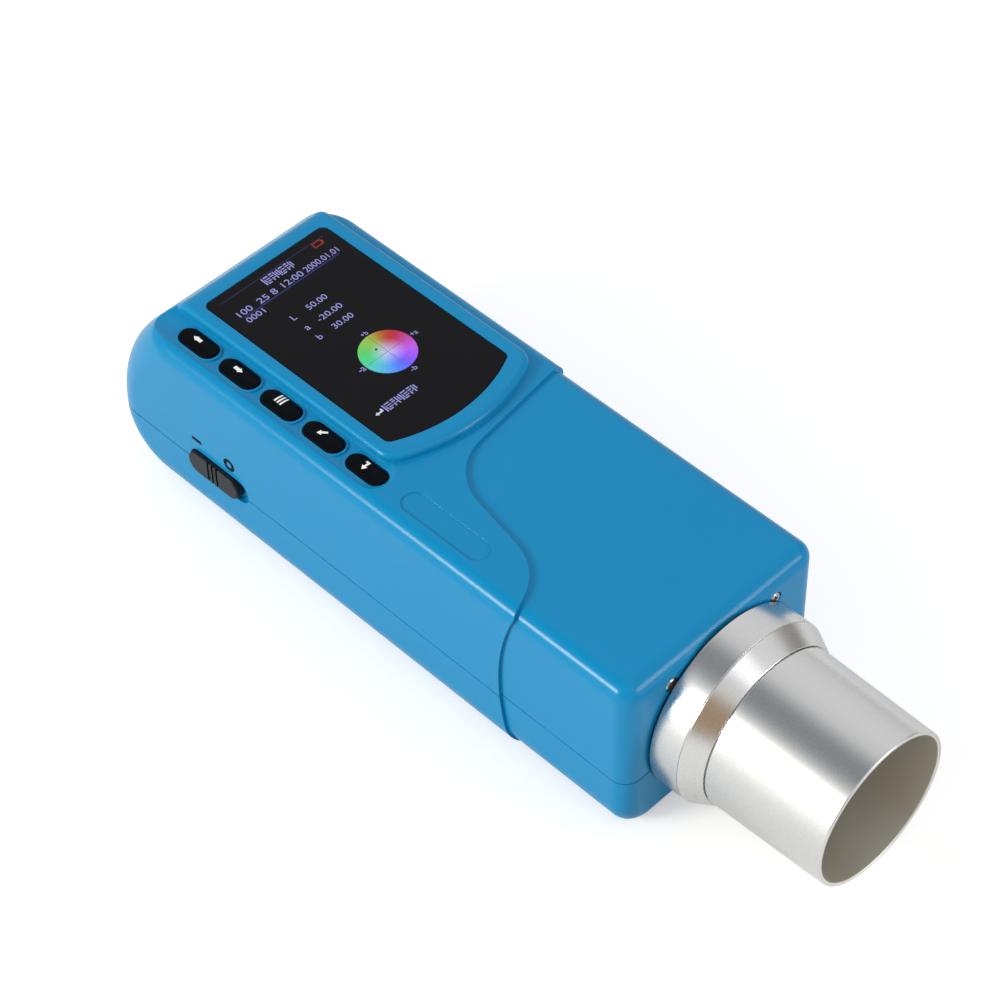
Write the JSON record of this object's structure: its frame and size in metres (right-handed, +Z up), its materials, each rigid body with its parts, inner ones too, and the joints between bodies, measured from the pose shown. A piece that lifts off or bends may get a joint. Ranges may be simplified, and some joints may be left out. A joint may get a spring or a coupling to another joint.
{
  "type": "handheld colorimeter",
  "caption": "Handheld colorimeter: long box with a swept tail, raised display platform, key row, side slide switch and an aluminium sample tube on its nose.",
  "frame": {"origin": "on the flat underside, 106.5 mm from the tail's furthest point and at the middle of the width", "axes": "+X along the measuring axis from the tail to the nose, +Y to the measuring key's side, +Z up from the underside to the display"},
  "size_m": [0.2685, 0.0788, 0.0651],
  "materials": {
    "housing": "fine satin blue moulding",
    "window": "polished black",
    "tape": "black adhesive",
    "screen": "dark glass",
    "flex": "amber film",
    "key_rubber": "satin black rubber",
    "knob": "dark grey moulding",
    "board": "green laminate",
    "chip": "black package",
    "battery": "blue wrap",
    "inner_plastic": "black moulding",
    "contact": "plated spring",
    "steel": "bright steel",
    "spigot": "black moulding",
    "gasket": "black rubber",
    "sphere": "white diffuse",
    "adapter_aluminium": "fine satin anodised"
  },
  "bodies": {
    "housing": {"upper_shell": "housing", "lower_shell": "housing", "display_window": "window", "window_tape": "tape", "screen_module": "screen", "screen_bracket": "steel", "bracket_screws": "steel", "display_flex": "flex", "key_domes": "steel", "key_board": "board", "power_switch": "chip", "measure_switch": "chip", "main_board": "board", "board_chips": "chip", "board_screws": "steel", "battery_pack": "battery", "battery_cradle": "inner_plastic", "battery_contacts": "contact", "usb_board": "board", "usb_socket": "steel", "housing_screws": "steel", "nose_spigot": "spigot", "nose_screws": "steel", "nose_gasket": "gasket", "adapter_oring": "gasket", "sphere_front": "sphere", "sphere_rear": "sphere", "light_board": "board", "viewing_tube": "inner_plastic", "sensor_board": "board", "aperture_plate": "sphere"},
    "key_up_body": {"key_up": "key_rubber"},
    "key_down_body": {"key_down": "key_rubber"},
    "key_menu_body": {"key_menu": "key_rubber"},
    "key_back_body": {"key_back": "key_rubber"},
    "key_enter_body": {"key_enter": "key_rubber"},
    "power_knob_body": {"power_knob": "knob"},
    "measure_key_body": {"measure_key": "knob"},
    "battery_door_body": {"battery_door": "housing"},
    "adapter": {"adapter_collar": "adapter_aluminium", "port_mask": "inner_plastic", "sample_tube": "adapter_aluminium"}
  },
  "joints": [
    {"name": "key_up_press", "type": "slide", "parent": "housing", "child": "key_up_body", "axis": [0, 0, -1], "range_m": [0, 0.0008], "stiffness_N_per_m": 1500},
    {"name": "key_down_press", "type": "slide", "parent": "housing", "child": "key_down_body", "axis": [0, 0, -1], "range_m": [0, 0.0008], "stiffness_N_per_m": 1500},
    {"name": "key_menu_press", "type": "slide", "parent": "housing", "child": "key_menu_body", "axis": [0, 0, -1], "range_m": [0, 0.0008], "stiffness_N_per_m": 1500},
    {"name": "key_back_press", "type": "slide", "parent": "housing", "child": "key_back_body", "axis": [0, 0, -1], "range_m": [0, 0.0008], "stiffness_N_per_m": 1500},
    {"name": "key_enter_press", "type": "slide", "parent": "housing", "child": "key_enter_body", "axis": [0, 0, -1], "range_m": [0, 0.0008], "stiffness_N_per_m": 1500},
    {"name": "power_slide", "type": "slide", "parent": "housing", "child": "power_knob_body", "axis": [1, 0, 0], "range_m": [0, 0.003]},
    {"name": "measure_press", "type": "slide", "parent": "housing", "child": "measure_key_body", "axis": [0, -1, 0], "range_m": [0, 0.0009], "stiffness_N_per_m": 1500},
    {"name": "battery_door_lift", "type": "slide", "parent": "housing", "child": "battery_door_body", "axis": [0, 0, -1], "range_m": [0, 0.012]},
    {"name": "adapter_pull", "type": "slide", "parent": "housing", "child": "adapter", "axis": [1, 0, 0], "range_m": [0, 0.02]}
  ]
}
